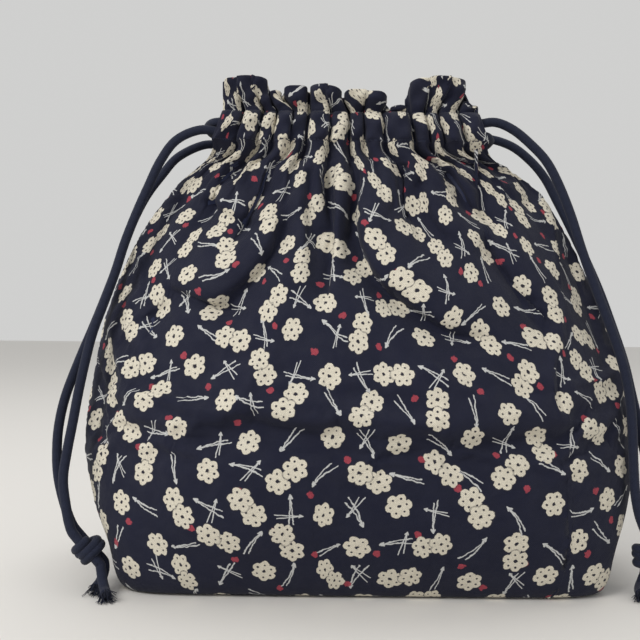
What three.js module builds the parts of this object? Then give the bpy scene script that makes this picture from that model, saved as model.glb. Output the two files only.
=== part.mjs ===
// A gathered drawstring project bag for knitting: printed cotton, boxed base, two braided cords.
// Millimetres, +Z up, +X to the bag's right, -Y to its front; the origin is the middle of the base.

import * as THREE from "three";

// Body sections from the base up: height, half-sizes, squareness of the outline and sideways shift.
const BODY_SECTIONS = [
  { z: 0, halfWidth: 119, halfDepth: 60, power: 9, shift: 0 },
  { z: 5, halfWidth: 122, halfDepth: 63.5, power: 8, shift: 0 },
  { z: 20, halfWidth: 127.5, halfDepth: 70.5, power: 5.4, shift: 0 },
  { z: 42, halfWidth: 139, halfDepth: 77, power: 3.2, shift: -1 },
  { z: 68, halfWidth: 145.5, halfDepth: 80, power: 2.4, shift: -1 },
  { z: 105, halfWidth: 142, halfDepth: 77, power: 2.2, shift: -1 },
  { z: 142, halfWidth: 131.5, halfDepth: 67, power: 2.1, shift: -3 },
  { z: 176, halfWidth: 117, halfDepth: 54, power: 2.1, shift: -3.5 },
  { z: 200, halfWidth: 102, halfDepth: 41, power: 2.1, shift: -2.8 },
  { z: 214, halfWidth: 90, halfDepth: 33, power: 2.2, shift: -4 },
];
// The gathered neck, from just above the body panels to just under the casing.
const NECK_SECTIONS = [
  { z: 214.5, halfWidth: 89, halfDepth: 32.5, power: 2.2, shift: -4 },
  { z: 219.5, halfWidth: 78, halfDepth: 28.5, power: 2.6, shift: -6 },
  { z: 224.6, halfWidth: 66.5, halfDepth: 26, power: 3.2, shift: -7.3 },
];

const GAP = 0.4; // between touching pieces
const OUTER_CLOTH = 1.2;
const LINING_CLOTH = 0.8;
const INTERLINING = 1.2;
const NECK_CLOTH = 2; // gathered cloth, folded on itself
const PANEL_STEPS = 22; // points along half of a section

const NECK_LEFT = -74;
const NECK_RIGHT = 59.5;
const END_LENGTH = 25; // of the casing and the frill at each side slit
const LIP_GAP = 1; // between the middle of the casing and its ends

const CASING_BOTTOM = 225;
const CASING_HEIGHT = 16;
const CASING_DEPTH = 15;
const CASING_MIDDLE_Y = 19;
const CASING_ROUND = 4;
const CHANNEL_HEIGHT = 12;
const CHANNEL_DEPTH = 6.4;
const CHANNEL_ROUND = 1.2;

const FRILL_BOTTOM = CASING_BOTTOM + CASING_HEIGHT + GAP;
const FRILL_TOP = 253.5;
const FRILL_CLOTH = 1.6;
const FRILL_WAVE = 5; // how far a pleat stands out from the frill's middle line
const FRILL_PLEAT = 20; // along the frill
const FRILL_ENDS = { left: 258.5, right: 260 }; // tops of the end lobes

const CORD = 5; // diameter of the braid
const CORD_SIDES = 10;
const CORD_STEP = 12;
const LEFT_RUN_Z = 230.1; // the left cord takes the lower half of each casing
const RIGHT_RUN_Z = 235.9; // and the right cord the upper half
const LOOP_REACH = 10; // how far a cord's loop bulges out of the slit that it crosses

const KNOT_HALF_LENGTH = 6.5;
const KNOT_RADIUS = 7;
const KNOT_END_RADIUS = 5.6;

const NAVY_PRINT = new THREE.MeshStandardMaterial({ color: 0x20243f, roughness: 0.9 });
const NAVY_LINING = new THREE.MeshStandardMaterial({ color: 0x2a3050, roughness: 0.9 });
const WADDING = new THREE.MeshStandardMaterial({ color: 0xd9d5ca, roughness: 0.95 });
const NAVY_BRAID = new THREE.MeshStandardMaterial({ color: 0x232a44, roughness: 0.85 });

const bag = new THREE.Group();

function addPiece(name, geometry, material) {
  const mesh = new THREE.Mesh(geometry, material);
  mesh.name = name;
  bag.add(mesh);
  return mesh;
}

// A closed solid through rings of points. Each ring is a thin or convex outline, so that its end
// caps can be folded shut: its first point faces its last, its second faces the one before, and so on.
function loft(rings) {
  const count = rings[0].length;
  const indices = [];
  const quad = (a, b, c, d) => indices.push(a, b, c, a, c, d);
  for (let r = 0; r + 1 < rings.length; r++) {
    for (let i = 0; i < count; i++) {
      const next = (i + 1) % count;
      quad(r * count + i, r * count + next, (r + 1) * count + next, (r + 1) * count + i);
    }
  }
  const top = (rings.length - 1) * count;
  for (let i = 0; i < count / 2 - 1; i++) {
    const across = count - 1 - i;
    quad(across, across - 1, i + 1, i);
    quad(top + i, top + i + 1, top + across - 1, top + across);
  }
  const geometry = new THREE.BufferGeometry();
  const points = rings.flat().flatMap((p) => [p.x, p.y, p.z]);
  geometry.setAttribute("position", new THREE.Float32BufferAttribute(points, 3));
  geometry.setIndex(indices);
  geometry.computeVertexNormals();
  return geometry;
}

// The point of a section's outline at an angle, with the outline drawn in by an inset.
function outlinePoint(section, angle, inset) {
  const bend = (value) => Math.sign(value) * Math.abs(value) ** (2 / section.power);
  return new THREE.Vector3(
    section.shift + (section.halfWidth - inset) * bend(Math.cos(angle)),
    (section.halfDepth - inset) * bend(Math.sin(angle)),
    section.z,
  );
}

// The angle, between 0 and pi, at which a section's outline passes a given x.
function angleAt(section, x) {
  const share = (x - section.shift) / section.halfWidth;
  return Math.acos(Math.sign(share) * Math.abs(share) ** (section.power / 2));
}

// A strip of cloth seen from above: the outline from one angle to another, and back inside it.
function stripRing(section, from, to, inset, cloth) {
  const outer = [];
  const inner = [];
  for (let i = 0; i <= PANEL_STEPS; i++) {
    const angle = from + ((to - from) * i) / PANEL_STEPS;
    outer.push(outlinePoint(section, angle, inset));
    inner.unshift(outlinePoint(section, angle, inset + cloth));
  }
  return [...outer, ...inner];
}

// A front or back panel: half of every section, drawn in by an inset and moved off the side seam.
function halfPanel(sections, isFront, inset, cloth) {
  const from = isFront ? Math.PI : 0;
  const rings = sections.map((s) => stripRing(s, from, from + Math.PI, inset, cloth));
  return loft(rings).translate(0, isFront ? -GAP / 2 : GAP / 2, 0);
}

// A flat slab with the outline of the lowest section.
function baseSlab(bottom, cloth, inset) {
  const section = BODY_SECTIONS[0];
  const ring = (z) =>
    Array.from({ length: 2 * PANEL_STEPS }, (_, i) =>
      outlinePoint({ ...section, z }, ((i + 0.5) * Math.PI) / PANEL_STEPS, inset),
    );
  return loft([ring(bottom), ring(bottom + cloth)]);
}

// Body sections raised to start at a height, for the layers that stand on the base.
function sectionsFrom(bottom) {
  const [first, ...others] = BODY_SECTIONS;
  return [{ ...first, z: bottom }, { ...others[0], z: bottom + others[0].z }, ...others.slice(1)];
}

function addBody() {
  const liningInset = OUTER_CLOTH + 2 * GAP;
  const interliningBottom = OUTER_CLOTH + GAP;
  const liningBottom = interliningBottom + INTERLINING + GAP;
  for (const face of ["front", "back"]) {
    const isFront = face === "front";
    const outer = halfPanel(BODY_SECTIONS, isFront, 0, OUTER_CLOTH);
    addPiece(`outer_${face}_panel`, outer, NAVY_PRINT);
    const lining = halfPanel(sectionsFrom(liningBottom), isFront, liningInset, LINING_CLOTH);
    addPiece(`lining_${face}_panel`, lining, NAVY_LINING);
  }
  addPiece("outer_base_panel", baseSlab(0, OUTER_CLOTH, liningInset), NAVY_PRINT);
  addPiece("base_interlining", baseSlab(interliningBottom, INTERLINING, liningInset + 1), WADDING);
  const liningBase = baseSlab(liningBottom, LINING_CLOTH, liningInset + LINING_CLOTH + GAP);
  addPiece("lining_base_panel", liningBase, NAVY_LINING);
}

// The neck is cut where the middle of the mouth moves and its two sides stay with the cords.
function addNeck() {
  const left = NECK_LEFT + END_LENGTH;
  const right = NECK_RIGHT - END_LENGTH;
  const band = (fromAngle, toAngle) =>
    loft(NECK_SECTIONS.map((s) => stripRing(s, fromAngle(s), toAngle(s), 0, NECK_CLOTH)));
  const whole = 2 * Math.PI;
  const front = band(
    (s) => whole - angleAt(s, left + LIP_GAP),
    (s) => whole - angleAt(s, right - LIP_GAP),
  );
  const back = band(
    (s) => angleAt(s, right - LIP_GAP),
    (s) => angleAt(s, left + LIP_GAP),
  );
  const leftSide = band(
    (s) => angleAt(s, left),
    (s) => whole - angleAt(s, left),
  );
  const rightSide = band(
    (s) => -angleAt(s, right),
    (s) => angleAt(s, right),
  );
  addPiece("neck_front", front, NAVY_PRINT);
  addPiece("neck_back", back, NAVY_PRINT);
  addPiece("neck_side_left", leftSide, NAVY_PRINT);
  addPiece("neck_side_right", rightSide, NAVY_PRINT);
}

// A rectangle with round corners, as a Shape or, as a hole, a Path.
function roundedRectangle(Outline, width, height, round) {
  const outline = new Outline();
  const x = width / 2 - round;
  const y = height / 2 - round;
  outline.absarc(x, y, round, 0, Math.PI / 2);
  outline.absarc(-x, y, round, Math.PI / 2, Math.PI);
  outline.absarc(-x, -y, round, Math.PI, 1.5 * Math.PI);
  outline.absarc(x, -y, round, 1.5 * Math.PI, 2 * Math.PI);
  return outline;
}

// A sewn tunnel along X between two places, on the front (side -1) or the back (side 1).
function casingGeometry(from, to, side) {
  const outline = roundedRectangle(THREE.Shape, CASING_DEPTH, CASING_HEIGHT, CASING_ROUND);
  outline.holes.push(roundedRectangle(THREE.Path, CHANNEL_DEPTH, CHANNEL_HEIGHT, CHANNEL_ROUND));
  const extruded = new THREE.ExtrudeGeometry(outline, {
    depth: to - from,
    curveSegments: 2,
    bevelEnabled: false,
  });
  extruded.rotateX(Math.PI / 2).rotateZ(Math.PI / 2);
  return extruded.translate(from, side * CASING_MIDDLE_Y, CASING_BOTTOM + CASING_HEIGHT / 2);
}

// A frill: a pleated ribbon along X, standing on the casing.
function frillGeometry(from, to, side, top) {
  const steps = Math.round((4 * (to - from)) / FRILL_PLEAT);
  const middle = (x) => FRILL_WAVE * Math.sin((2 * Math.PI * x) / FRILL_PLEAT);
  const ring = (z) => {
    const front = [];
    const back = [];
    for (let i = 0; i <= steps; i++) {
      const x = from + ((to - from) * i) / steps;
      const y = side * CASING_MIDDLE_Y + middle(x);
      front.push(new THREE.Vector3(x, y - FRILL_CLOTH / 2, z));
      back.unshift(new THREE.Vector3(x, y + FRILL_CLOTH / 2, z));
    }
    return [...front, ...back];
  };
  return loft([ring(FRILL_BOTTOM), ring(top)]);
}

function addCasingsAndFrills() {
  const left = NECK_LEFT + END_LENGTH;
  const right = NECK_RIGHT - END_LENGTH;
  for (const [face, side] of [["front", -1], ["back", 1]]) {
    const middle = casingGeometry(left + LIP_GAP, right - LIP_GAP, side);
    addPiece(`casing_${face}`, middle, NAVY_PRINT);
    addPiece(`casing_end_left_${face}`, casingGeometry(NECK_LEFT, left, side), NAVY_PRINT);
    addPiece(`casing_end_right_${face}`, casingGeometry(right, NECK_RIGHT, side), NAVY_PRINT);
    const frill = frillGeometry(left + LIP_GAP, right - LIP_GAP, side, FRILL_TOP);
    addPiece(`frill_${face}`, frill, NAVY_PRINT);
    const leftLobe = frillGeometry(NECK_LEFT, left, side, FRILL_ENDS.left);
    addPiece(`frill_end_left_${face}`, leftLobe, NAVY_PRINT);
    const rightLobe = frillGeometry(right, NECK_RIGHT, side, FRILL_ENDS.right);
    addPiece(`frill_end_right_${face}`, rightLobe, NAVY_PRINT);
  }
}

// Routes of the four strands, from inside the casing's end to the knot.
const STRAND_ROUTES = {
  left_cord_front_strand: [
    [-50, -19, 230.1], [-62, -19, 230.1], [-74, -19, 230.4], [-86.5, -18.8, 231.6],
    [-98.8, -19, 226], [-106.6, -21, 214.6], [-112.5, -24, 200], [-117.7, -27, 186],
    [-122.7, -30, 170.7], [-126.9, -32.5, 155], [-131.6, -35, 140], [-136.4, -37.5, 125],
    [-139.4, -39.5, 111], [-142, -41.5, 96], [-144.2, -43.8, 80], [-146, -46.6, 66],
    [-146.8, -49.8, 53], [-144.6, -52.4, 41], [-141.6, -54.4, 30.5], [-138.1, -55.3, 25.6],
  ],
  left_cord_back_strand: [
    [-50, 19, 230.1], [-62, 19, 230.1], [-74, 18.7, 230.4], [-88, 15, 231.2],
    [-102, 7, 222.6], [-110, 1, 211.2], [-117, -4, 199.5], [-122, -9.5, 187],
    [-126.1, -15, 173], [-129.4, -20, 158], [-133.8, -24, 143], [-138.8, -28, 127.5],
    [-145.2, -31, 110], [-151, -34, 92], [-153.4, -36.8, 77], [-153.2, -39.8, 64],
    [-151.4, -42.8, 52.5], [-147.4, -46, 40.7], [-142.8, -48.7, 31.2], [-138.1, -49.6, 25.5],
  ],
  right_cord_front_strand: [
    [35.5, -19, 235.9], [47.5, -19, 235.9], [59.5, -19, 236.1], [69.5, -18.8, 237.2],
    [79, -18.6, 233.4], [88, -18.9, 226], [96, -20, 217], [102, -21.8, 205],
    [108, -24.5, 188], [113, -28, 169], [119.2, -32, 148.5], [125.8, -36, 128],
    [130.8, -39, 110], [133.2, -41.4, 94], [133.6, -44, 79], [133.2, -46.6, 64],
    [133.4, -48.6, 50], [135, -50, 38.5], [138, -50.6, 30], [139.8, -50.9, 25.2],
  ],
  right_cord_back_strand: [
    [35.5, 19, 235.9], [47.5, 19, 235.9], [59.5, 18.9, 236.1], [72.5, 15, 236.2],
    [84.6, 9.5, 231], [94.2, 5, 222], [101, 0, 211.5], [107, -3, 198.5],
    [113.4, -6, 184], [120.2, -10, 167], [126.8, -14, 149], [131.8, -20, 130],
    [135.8, -26, 112], [138.2, -31, 95], [140.6, -35, 79], [142.6, -38.5, 64],
    [143.6, -41, 50.5], [143.6, -43.3, 39], [142, -44.8, 30.6], [140.3, -45.3, 25.2],
  ],
};
// Each knot's middle and the direction from the strands to the tails.
const KNOTS = {
  left_cord: { centre: [-132.8, -52.4, 20], along: [0.7, -0.05, -0.71] },
  right_cord: { centre: [140, -48.1, 17.5], along: [0, -0.02, -1] },
};
// Routes of the tails, which end lying on the surface that the bag stands on.
const TAIL_ROUTES = {
  left_cord_tail_front: [
    [-127.5, -55.9, 14.4], [-126, -56.8, 11.8], [-124.2, -60, 6.6], [-122.2, -63.6, 3.8],
    [-120.6, -68, 2.8],
  ],
  left_cord_tail_back: [
    [-127.5, -50.3, 14.6], [-126, -50.6, 12.3], [-125.8, -51.2, 9], [-126.6, -53, 5.4],
    [-127.6, -58.6, 2.8],
  ],
  right_cord_tail_front: [
    [140, -51.1, 10], [140.2, -52.2, 6.4], [141, -55.6, 3.7], [142.6, -60.6, 2.8],
    [144.8, -66, 2.8],
  ],
  right_cord_tail_back: [
    [140, -45.4, 10], [138.8, -46, 6.3], [136.2, -49, 3.6], [133.8, -54, 2.8],
    [132.4, -60, 2.8],
  ],
};

// A round cord through hand-laid points.
function cordGeometry(points) {
  const route = new THREE.CatmullRomCurve3(points.map((p) => new THREE.Vector3(...p)), false, "centripetal");
  const circle = new THREE.Shape();
  for (let i = 0; i < CORD_SIDES; i++) {
    const angle = (2 * Math.PI * i) / CORD_SIDES;
    const move = i ? "lineTo" : "moveTo";
    circle[move]((CORD / 2) * Math.cos(angle), (CORD / 2) * Math.sin(angle));
  }
  circle.closePath();
  return new THREE.ExtrudeGeometry(circle, {
    steps: Math.max(4, Math.round(route.getLength() / CORD_STEP)),
    extrudePath: route,
    bevelEnabled: false,
  });
}

// The pulled-tight overhand knot: a barrel whose flat ends meet the strands and the tails.
function knotGeometry({ centre, along }) {
  const profile = [
    [0, -KNOT_HALF_LENGTH],
    [KNOT_END_RADIUS, -KNOT_HALF_LENGTH],
    [KNOT_RADIUS, -KNOT_HALF_LENGTH / 2],
    [KNOT_RADIUS, KNOT_HALF_LENGTH / 2],
    [KNOT_END_RADIUS, KNOT_HALF_LENGTH],
    [0, KNOT_HALF_LENGTH],
  ].map(([radius, height]) => new THREE.Vector2(radius, height));
  const turned = new THREE.LatheGeometry(profile, 2 * CORD_SIDES);
  const axis = new THREE.Vector3(...along).normalize();
  const turn = new THREE.Quaternion().setFromUnitVectors(new THREE.Vector3(0, 1, 0), axis);
  return turned.applyQuaternion(turn).translate(...centre);
}

// The loop of a cord across a slit: out of one casing, round the opening and into the other.
function slitLoopRoute(slitX, outward, z) {
  const inside = slitX - outward * (END_LENGTH - LIP_GAP);
  const y = CASING_MIDDLE_Y;
  const quarter = [
    [inside, -y, z],
    [slitX - outward * 8, -y, z],
    [slitX + outward * LOOP_REACH * 0.4, -y * 0.94, z],
    [slitX + outward * LOOP_REACH * 0.9, -y * 0.5, z],
  ];
  const mirrored = quarter.map(([x, py, pz]) => [x, -py, pz]).reverse();
  return [...quarter, [slitX + outward * LOOP_REACH, 0, z], ...mirrored];
}

function addCords() {
  for (const [name, route] of Object.entries({ ...STRAND_ROUTES, ...TAIL_ROUTES })) {
    addPiece(name, cordGeometry(route), NAVY_BRAID);
  }
  const runFrom = NECK_LEFT + END_LENGTH + LIP_GAP;
  const runTo = NECK_RIGHT - END_LENGTH - LIP_GAP;
  for (const [cord, z] of [["left_cord", LEFT_RUN_Z], ["right_cord", RIGHT_RUN_Z]]) {
    addPiece(`${cord}_knot`, knotGeometry(KNOTS[cord]), NAVY_BRAID);
    for (const [face, side] of [["front", -1], ["back", 1]]) {
      const y = side * CASING_MIDDLE_Y;
      addPiece(`${cord}_${face}_run`, cordGeometry([[runFrom, y, z], [runTo, y, z]]), NAVY_BRAID);
    }
  }
  addPiece("left_cord_slit_loop", cordGeometry(slitLoopRoute(NECK_RIGHT, 1, LEFT_RUN_Z)), NAVY_BRAID);
  addPiece("right_cord_slit_loop", cordGeometry(slitLoopRoute(NECK_LEFT, -1, RIGHT_RUN_Z)), NAVY_BRAID);
}

addBody();
addNeck();
addCasingsAndFrills();
addCords();

export default bag;
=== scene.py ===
"""A drawstring knitting bag of printed cotton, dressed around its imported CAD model.

Blender 4.5, metres, +Z up, front towards -Y. The camera and the cords come first, then the cloth.
"""

import math

import bpy
import numpy as np
from mathutils import Matrix, Vector


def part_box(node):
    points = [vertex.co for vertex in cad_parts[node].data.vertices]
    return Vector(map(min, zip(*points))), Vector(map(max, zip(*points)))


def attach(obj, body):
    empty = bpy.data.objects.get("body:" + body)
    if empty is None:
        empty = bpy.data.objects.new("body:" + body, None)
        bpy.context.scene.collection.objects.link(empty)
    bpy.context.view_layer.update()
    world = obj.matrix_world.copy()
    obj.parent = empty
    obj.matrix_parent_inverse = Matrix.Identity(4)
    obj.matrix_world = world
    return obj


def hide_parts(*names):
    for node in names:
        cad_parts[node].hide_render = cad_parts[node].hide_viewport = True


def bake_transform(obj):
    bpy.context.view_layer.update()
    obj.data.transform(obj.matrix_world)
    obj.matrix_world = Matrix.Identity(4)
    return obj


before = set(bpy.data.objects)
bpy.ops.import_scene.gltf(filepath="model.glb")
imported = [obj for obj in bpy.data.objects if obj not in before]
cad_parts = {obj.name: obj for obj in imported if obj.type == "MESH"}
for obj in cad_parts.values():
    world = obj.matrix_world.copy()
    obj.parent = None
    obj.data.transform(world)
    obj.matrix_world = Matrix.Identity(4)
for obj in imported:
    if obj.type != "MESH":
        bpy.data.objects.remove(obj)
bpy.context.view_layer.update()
MM = 0.001

# Camera: level, a little left of the bag's middle, close to it.
CAMERA_PLACE = (-0.022, -0.441, 0.132)
CAMERA_LENS = 45
CAMERA_ROLL = math.radians(0.6)

# The gathered neck, as the CAD model has it
NECK_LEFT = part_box("casing_end_left_front")[0].x
NECK_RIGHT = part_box("casing_end_right_front")[1].x
CASING_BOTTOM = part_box("casing_front")[0].z
CASING_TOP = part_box("casing_front")[1].z
CASING_Y = 19 * MM
MOUTH_TRAVEL_FROM = 150 * MM  # below this height the cloth doesn't follow the opening mouth
LEFT_END, RIGHT_END = (-52 * MM, -24 * MM), (9.5 * MM, 37.5 * MM)  # between held and following cloth
RUN_ENDS = (-49.8 * MM, 35.3 * MM)  # of the cords' stretch inside a casing

# Cords
CORD_RADIUS = 2.5 * MM
CORD_STEP = 0.7 * MM
CORD_RING = 30
CORD_YARNS = 9  # in each direction of the braid
BRAID_PITCH = 15 * MM
BRAID_DEPTH = 0.42 * MM
FRAYED_FIBRES = 80
LEFT_RUN_Z = 230.1 * MM
RIGHT_RUN_Z = 235.9 * MM


# ---------------------------------------------------------------- small tools


def smooth(value, low=0.0, high=1.0):
    """0 below low, 1 above high, and an S-curve between them."""
    t = np.clip((np.asarray(value, float) - low) / (high - low), 0, 1)
    return t * t * (3 - 2 * t)


def lengths_along(points):
    steps = np.linalg.norm(np.diff(points, axis=0), axis=1)
    return np.concatenate([[0], np.cumsum(steps)])


def spline(points, step):
    """A smooth curve through the points, cut into equal steps."""
    p = np.array(points, float)
    p = np.vstack([2 * p[0] - p[1], p, 2 * p[-1] - p[-2]])
    fine = []
    for a, b, c, d in zip(p, p[1:], p[2:], p[3:]):
        t = np.linspace(0, 1, 16, endpoint=False)[:, None]
        fine.append(
            0.5 * (2 * b + (c - a) * t + (2 * a - 5 * b + 4 * c - d) * t**2 + (3 * b - a - 3 * c + d) * t**3)
        )
    fine = np.vstack(fine + [p[-2:-1]])
    along = lengths_along(fine)
    count = max(2, round(along[-1] / step) + 1)
    at = np.linspace(0, along[-1], count)
    return np.column_stack([np.interp(at, along, fine[:, k]) for k in range(3)])


def through(knots, values, at):
    """A smooth curve through values at knots, without overshoot."""
    x, y = np.array(knots, float), np.array(values, float)
    slope = np.diff(y) / np.diff(x)
    flat = slope[1:] * slope[:-1] <= 0
    middle = 2 * slope[1:] * slope[:-1] / np.where(flat, 1, slope[1:] + slope[:-1])
    tangent = np.concatenate([[slope[0]], np.where(flat, 0, middle), [slope[-1]]])
    at = np.clip(at, x[0], x[-1])
    i = np.clip(np.searchsorted(x, at, side="right") - 1, 0, len(x) - 2)
    h = x[i + 1] - x[i]
    t = (at - x[i]) / h
    return (
        (2 * t**3 - 3 * t**2 + 1) * y[i]
        + (t**3 - 2 * t**2 + t) * h * tangent[i]
        + (3 * t**2 - 2 * t**3) * y[i + 1]
        + (t**3 - t**2) * h * tangent[i + 1]
    )


def add_mesh(name, points, faces, material, uv=None):
    """A smooth-shaded mesh object; uv is one flat coordinate for each point."""
    mesh = bpy.data.meshes.new(name)
    mesh.from_pydata([tuple(p) for p in points], [], [tuple(f) for f in faces])
    mesh.shade_smooth()
    if uv is not None:
        layer = mesh.uv_layers.new(name="flat")
        corners = np.zeros(len(mesh.loops), np.int32)
        mesh.loops.foreach_get("vertex_index", corners)
        layer.data.foreach_set("uv", np.asarray(uv, np.float32)[corners].ravel())
    mesh.materials.append(material)
    piece = bpy.data.objects.new(name, mesh)
    bpy.context.scene.collection.objects.link(piece)
    return piece


def get_points(mesh):
    points = np.zeros(len(mesh.vertices) * 3, np.float32)
    mesh.vertices.foreach_get("co", points)
    return points.reshape(-1, 3).astype(float)


def store_numbers(mesh, name, numbers):
    """Keeps one number for each point of a mesh, for its material to read."""
    attribute = mesh.attributes.new(name, "FLOAT", "POINT")
    attribute.data.foreach_set("value", np.asarray(numbers, np.float32).ravel())


def grid_faces(rows, columns, closed=False):
    """Quads of a grid whose points run along each row in turn."""
    i = np.arange(rows - 1)[:, None] * columns
    j = np.arange(columns if closed else columns - 1)[None, :]
    nxt = (j + 1) % columns
    quads = np.stack([i + j, i + nxt, i + columns + nxt, i + columns + j], axis=-1)
    return quads.reshape(-1, 4)


# ---------------------------------------------------------------- camera and stage


def add_camera():
    data = bpy.data.cameras.new("camera")
    data.lens = CAMERA_LENS
    data.sensor_width = 36
    data.clip_start = 0.01
    camera = bpy.data.objects.new("camera", data)
    bpy.context.scene.collection.objects.link(camera)
    c, s = math.cos(CAMERA_ROLL), math.sin(CAMERA_ROLL)
    x, y, z = CAMERA_PLACE
    camera.matrix_world = Matrix(((c, -s, 0, x), (0, 0, -1, y), (s, c, 0, z), (0, 0, 0, 1)))
    bpy.context.scene.camera = camera


def add_light(name, place, target, size, power, colour=(1, 1, 1)):
    data = bpy.data.lights.new(name, "AREA")
    data.shape = "DISK"
    data.size = size
    data.energy = power
    data.color = colour
    light = bpy.data.objects.new(name, data)
    bpy.context.scene.collection.objects.link(light)
    light.location = place
    aim = np.array(target) - np.array(place)
    light.rotation_mode = "QUATERNION"
    light.rotation_quaternion = Vector(aim).to_track_quat("-Z", "Y")


def add_stage():
    material = bpy.data.materials.new("studio_floor")
    material.use_nodes = True
    surface = material.node_tree.nodes["Principled BSDF"]
    surface.inputs["Base Color"].default_value = (0.74, 0.72, 0.69, 1)
    surface.inputs["Roughness"].default_value = 0.7
    corners = [(-4, -4, 0), (4, -4, 0), (4, 4, 0), (-4, 4, 0)]
    floor = add_mesh("studio_floor", corners, [(0, 1, 2, 3)], material)
    floor.location.z = -0.0003
    world = bpy.data.worlds.new("studio")
    world.use_nodes = True
    world.node_tree.nodes["Background"].inputs["Color"].default_value = (0.95, 0.95, 0.94, 1)
    world.node_tree.nodes["Background"].inputs["Strength"].default_value = 0.66
    bpy.context.scene.world = world
    middle = (0, 0, 0.13)
    add_light("key_light", (-0.85, -0.85, 1.0), middle, 0.6, 11, (1, 0.99, 0.97))
    add_light("fill_light", (1.2, -0.9, 0.5), middle, 1.2, 1.5, (1, 0.97, 0.93))
    add_light("top_light", (0.1, 0.4, 1.4), middle, 1.0, 4)
    bpy.context.scene.view_settings.view_transform = "Standard"


# ---------------------------------------------------------------- node helpers


class Graph:
    """Short names for the nodes of one material."""

    def __init__(self, material):
        self.tree = material.node_tree

    def wire(self, value, socket):
        if isinstance(value, bpy.types.NodeSocket):
            self.tree.links.new(value, socket)
        else:
            socket.default_value = value

    def node(self, kind, sockets, out=0, **settings):
        """Adds a node, fills its inputs by name or number and returns one of its outputs."""
        node = self.tree.nodes.new("ShaderNode" + kind)
        for name, value in settings.items():
            setattr(node, name, value)
        for key, value in sockets.items():
            self.wire(value, node.inputs[key])
        return node.outputs[out]

    def math(self, operation, *values):
        return self.node("Math", dict(enumerate(values)), operation=operation)

    def times(self, a, b):
        return self.math("MULTIPLY", a, b)

    def minus(self, a, b):
        return self.math("SUBTRACT", a, b)

    def most(self, a, b):
        return self.math("MAXIMUM", a, b)

    def line(self, value, slope, offset):
        return self.math("MULTIPLY_ADD", value, slope, offset)

    def vector(self, operation, *values):
        return self.node("VectorMath", dict(enumerate(values)), operation=operation)

    def length(self, vector):
        return self.node("VectorMath", {0: vector}, "Value", operation="LENGTH")

    def scale(self, vector, factor):
        return self.node("VectorMath", {0: vector, "Scale": factor}, operation="SCALE")

    def split(self, vector):
        node = self.tree.nodes.new("ShaderNodeSeparateXYZ")
        self.wire(vector, node.inputs[0])
        return tuple(node.outputs)

    def join(self, x=0.0, y=0.0, z=0.0):
        return self.node("CombineXYZ", {0: x, 1: y, 2: z})

    def turn(self, vector, angle):
        return self.node("VectorRotate", {"Vector": vector, "Angle": angle}, rotation_type="Z_AXIS")

    def white(self, vector):
        """Three random numbers from 0 to 1 that are the same all over a cell."""
        return self.split(self.node("TexWhiteNoise", {"Vector": vector}, "Color", noise_dimensions="3D"))

    def noise(self, vector, scale, detail=2.0, rough=0.5):
        sockets = {"Vector": vector, "Scale": scale, "Detail": detail, "Roughness": rough}
        return self.node("TexNoise", sockets, "Fac")

    def ramp(self, value, low, high, out_low=0.0, out_high=1.0):
        """A smooth step from out_low to out_high as value goes from low to high."""
        sockets = {"Value": value, "From Min": low, "From Max": high, "To Min": out_low, "To Max": out_high}
        return self.node("MapRange", sockets, "Result", interpolation_type="SMOOTHSTEP")

    def mix(self, factor, a, b):
        return self.node("Mix", {"Factor": factor, "A": a, "B": b}, "Result", data_type="RGBA")

    def bump(self, height, distance, strength=1.0, normal=None):
        sockets = {"Height": height, "Distance": distance, "Strength": strength}
        if normal is not None:
            sockets["Normal"] = normal
        return self.node("Bump", sockets, "Normal")

    def flat_place(self):
        """Where a point lies on the flat cloth, in millimetres."""
        return self.scale(self.node("UVMap", {}, "UV", uv_map="flat"), 1000.0)

    def object_place(self):
        return self.scale(self.node("TexCoord", {}, "Object"), 1000.0)

    def attribute(self, name):
        return self.node("Attribute", {}, "Fac", attribute_name=name)


def new_material(name, roughness, sheen):
    material = bpy.data.materials.new(name)
    material.use_nodes = True
    surface = material.node_tree.nodes["Principled BSDF"]
    surface.inputs["Roughness"].default_value = roughness
    surface.inputs["Specular IOR Level"].default_value = 0.25
    surface.inputs["Sheen Weight"].default_value = sheen
    surface.inputs["Sheen Roughness"].default_value = 0.5
    return material, surface, Graph(material)


# ---------------------------------------------------------------- the print

NEEDLE_WHITE = (0.560, 0.565, 0.560, 1)
INK = (0.020, 0.018, 0.030, 1)
PRINT_CELL = 34.0  # mm; each motif has one cell of this size, and each kind two sets of cells


def cell_place(g, place, offset, seed, jitter):
    """Millimetres from a jittered point of each cell, and four random numbers for that cell."""
    moved = g.scale(g.vector("ADD", place, (offset[0], offset[1], 0)), 1 / PRINT_CELL)
    cell = g.vector("FLOOR", moved)
    inside = g.scale(g.vector("SUBTRACT", g.vector("SUBTRACT", moved, cell), (0.5, 0.5, 0)), PRINT_CELL)
    a, b, c = g.white(g.vector("ADD", cell, (0.37, 0.21, seed)))
    d, e, f = g.white(g.vector("ADD", cell, (0.11, 0.73, seed + 5.5)))
    push = g.join(g.line(a, 2 * jitter, -jitter), g.line(b, 2 * jitter, -jitter))
    return g.vector("SUBTRACT", inside, push), (c, d, e, f)


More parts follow.
